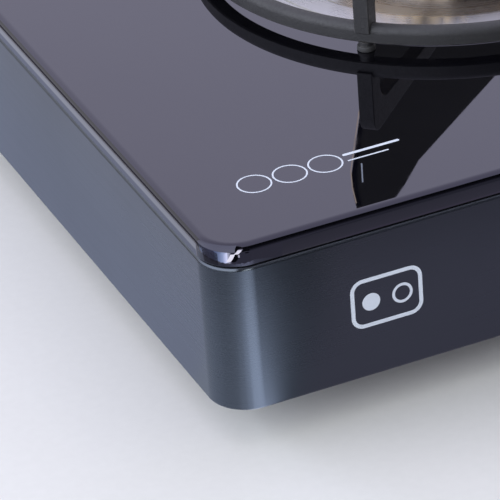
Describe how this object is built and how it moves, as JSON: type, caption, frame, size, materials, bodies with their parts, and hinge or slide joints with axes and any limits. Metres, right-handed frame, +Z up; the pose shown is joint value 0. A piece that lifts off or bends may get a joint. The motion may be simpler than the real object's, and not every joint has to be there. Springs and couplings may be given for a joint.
{
  "type": "gas hot plate",
  "caption": "Low table-top gas hot plate: a toughened black glass top flush over a rounded steel casing, ring pan supports over brass burners, and push-and-turn knobs in front.",
  "frame": {"origin": "on the table under the middle of the hot plate", "axes": "+X to the cook's right, +Y away from the cook to the rear, +Z up; the knobs face -Y"},
  "size_m": [0.64, 0.406, 0.114],
  "materials": {
    "black_steel": "dark coated steel sheet, satin with a level hairline",
    "black_glass": "polished, black backed",
    "silicone": "matt",
    "rubber": "matt",
    "zinc_screw": "zinc plated",
    "zinc_sheet": "zinc coated sheet",
    "aluminium_tube": "drawn",
    "brass": "machined",
    "brass_crown": "turned, slightly dulled by heat",
    "cast_aluminium": "as cast",
    "spring_steel": "bright drawn",
    "stainless": "brushed in rings",
    "enamel": "semi-matt vitreous enamel",
    "support_steel": "matt vitreous enamel on steel",
    "knob_plastic": "moulded, satin",
    "chrome": "bright"
  },
  "bodies": {
    "housing": {"casing": "black_steel", "base_plate": "zinc_sheet", "glass_top": "black_glass", "glass_seal": "silicone", "foot_front_left": "rubber", "foot_front_right": "rubber", "foot_rear_left": "rubber", "foot_rear_right": "rubber", "foot_screws": "zinc_screw", "base_screws": "zinc_screw", "bracket_screws": "zinc_screw", "burner_screws": "zinc_screw", "valve_screws": "zinc_screw", "clamp_screws": "zinc_screw", "gas_rail": "aluminium_tube", "rail_end_plug": "brass", "rail_clips": "zinc_sheet", "gas_inlet": "brass", "inlet_locknut": "brass", "left_bracket": "zinc_sheet", "left_mixing_tube": "cast_aluminium", "left_jet": "brass", "left_valve_body": "brass", "left_valve_bonnet": "zinc_sheet", "left_valve_clamp": "zinc_sheet", "left_bezel": "chrome", "right_bracket": "zinc_sheet", "right_mixing_tube": "cast_aluminium", "right_jet": "brass", "right_valve_body": "brass", "right_valve_bonnet": "zinc_sheet", "right_valve_clamp": "zinc_sheet", "right_bezel": "chrome"},
    "left_tray": {"left_drip_tray": "stainless"},
    "left_head": {"left_burner_head": "brass_crown"},
    "left_cap": {"left_burner_cap": "enamel"},
    "left_support": {"left_pan_support": "support_steel", "left_support_arms": "support_steel", "left_support_pads": "silicone"},
    "left_plug": {"left_valve_plug": "brass", "left_valve_spring": "spring_steel"},
    "left_control": {"left_spindle": "spring_steel", "left_knob": "knob_plastic"},
    "right_tray": {"right_drip_tray": "stainless"},
    "right_head": {"right_burner_head": "brass_crown"},
    "right_cap": {"right_burner_cap": "enamel"},
    "right_support": {"right_pan_support": "support_steel", "right_support_arms": "support_steel", "right_support_pads": "silicone"},
    "right_plug": {"right_valve_plug": "brass", "right_valve_spring": "spring_steel"},
    "right_control": {"right_spindle": "spring_steel", "right_knob": "knob_plastic"}
  },
  "joints": [
    {"name": "left_tray_lift", "type": "slide", "parent": "housing", "child": "left_tray", "axis": [0, 0, 1], "range_m": [0, 0.04]},
    {"name": "left_head_lift", "type": "slide", "parent": "left_tray", "child": "left_head", "axis": [0, 0, 1], "range_m": [0, 0.03]},
    {"name": "left_cap_lift", "type": "slide", "parent": "left_head", "child": "left_cap", "axis": [0, 0, 1], "range_m": [0, 0.02]},
    {"name": "left_support_lift", "type": "slide", "parent": "left_cap", "child": "left_support", "axis": [0, 0, 1], "range_m": [0, 0.08]},
    {"name": "left_valve_turn", "type": "hinge", "parent": "housing", "child": "left_plug", "pos_m": [-0.143, -0.146, 0.044], "axis": [0, -1, 0], "range_deg": [0, 210]},
    {"name": "left_knob_push", "type": "slide", "parent": "left_plug", "child": "left_control", "axis": [0, 1, 0], "range_m": [0, 0.004], "stiffness_N_per_m": 1500, "springref_m": -0.003, "deforming": ["left_valve_spring"]},
    {"name": "right_tray_lift", "type": "slide", "parent": "housing", "child": "right_tray", "axis": [0, 0, 1], "range_m": [0, 0.04]},
    {"name": "right_head_lift", "type": "slide", "parent": "right_tray", "child": "right_head", "axis": [0, 0, 1], "range_m": [0, 0.03]},
    {"name": "right_cap_lift", "type": "slide", "parent": "right_head", "child": "right_cap", "axis": [0, 0, 1], "range_m": [0, 0.02]},
    {"name": "right_support_lift", "type": "slide", "parent": "right_cap", "child": "right_support", "axis": [0, 0, 1], "range_m": [0, 0.08]},
    {"name": "right_valve_turn", "type": "hinge", "parent": "housing", "child": "right_plug", "pos_m": [0.143, -0.146, 0.044], "axis": [0, -1, 0], "range_deg": [0, 210]},
    {"name": "right_knob_push", "type": "slide", "parent": "right_plug", "child": "right_control", "axis": [0, 1, 0], "range_m": [0, 0.004], "stiffness_N_per_m": 1500, "springref_m": -0.003, "deforming": ["right_valve_spring"]}
  ]
}
